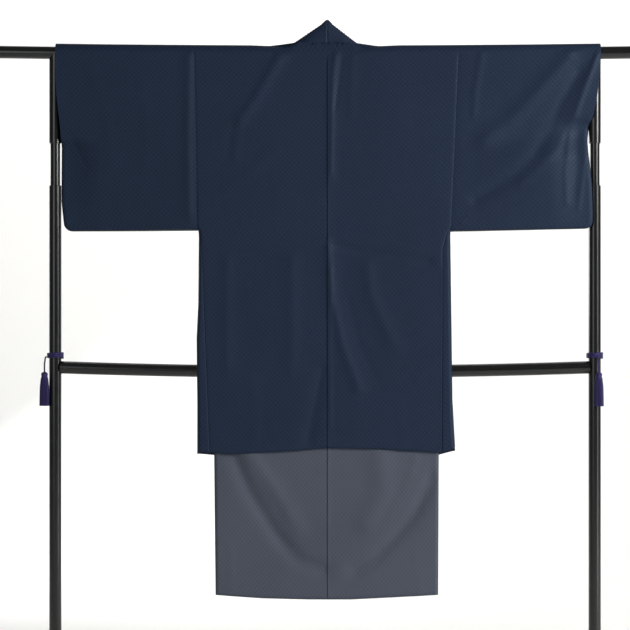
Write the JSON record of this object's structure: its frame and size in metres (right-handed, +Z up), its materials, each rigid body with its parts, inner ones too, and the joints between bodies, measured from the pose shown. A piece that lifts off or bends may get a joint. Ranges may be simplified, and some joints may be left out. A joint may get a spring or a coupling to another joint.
{
  "type": "kimono and haori set on a kimono stand",
  "caption": "Navy haori jacket over a grey kimono, hung by the shoulders on a black free-standing kimono stand, seen from the back.",
  "frame": {"origin": "on the floor, midway between the two uprights, under the hanging rod", "axes": "+X along the rod, to the right as the garments' backs are seen; the backs face -Y and the fronts +Y; +Z up"},
  "size_m": [1.748, 0.46, 1.6817],
  "materials": {
    "haori_cloth": "navy woven cloth with a small tone-on-tone lattice and a soft sheen",
    "kimono_cloth": "blue-grey woven cloth with the same small lattice, matt",
    "black_steel": "black paint, semi-gloss",
    "black_rubber": "matt black rubber",
    "purple_cord": "purple braided cord with cut tassel strands"
  },
  "bodies": {
    "root": {"rod": "black_steel", "mid_bar": "black_steel", "haori_body_left": "haori_cloth", "haori_body_right": "haori_cloth", "haori_sleeve_left": "haori_cloth", "haori_sleeve_right": "haori_cloth", "haori_gusset_left": "haori_cloth", "haori_gusset_right": "haori_cloth", "haori_collar_left": "haori_cloth", "haori_collar_right": "haori_cloth", "kimono_back_left": "kimono_cloth", "kimono_back_right": "kimono_cloth", "kimono_shoulder_left": "kimono_cloth", "kimono_shoulder_right": "kimono_cloth", "kimono_front_left": "kimono_cloth", "kimono_front_right": "kimono_cloth", "kimono_overlap_left": "kimono_cloth", "kimono_overlap_right": "kimono_cloth", "kimono_sleeve_left": "kimono_cloth", "kimono_sleeve_right": "kimono_cloth", "kimono_collar_left": "kimono_cloth", "kimono_collar_right": "kimono_cloth", "upright_lower_left": "black_steel", "upright_lower_right": "black_steel", "upright_inner_left": "black_steel", "upright_inner_right": "black_steel", "upright_upper_left": "black_steel", "upright_upper_right": "black_steel", "foot_left": "black_steel", "foot_right": "black_steel", "foot_ring_left": "black_steel", "foot_ring_right": "black_steel", "rod_cap_left": "black_rubber", "rod_cap_right": "black_rubber", "foot_pad_left_back": "black_rubber", "foot_pad_left_front": "black_rubber", "foot_pad_right_back": "black_rubber", "foot_pad_right_front": "black_rubber", "cord_wrap_left": "purple_cord", "cord_wrap_right": "purple_cord", "tassel_left": "purple_cord", "tassel_right": "purple_cord"}
  },
  "joints": []
}
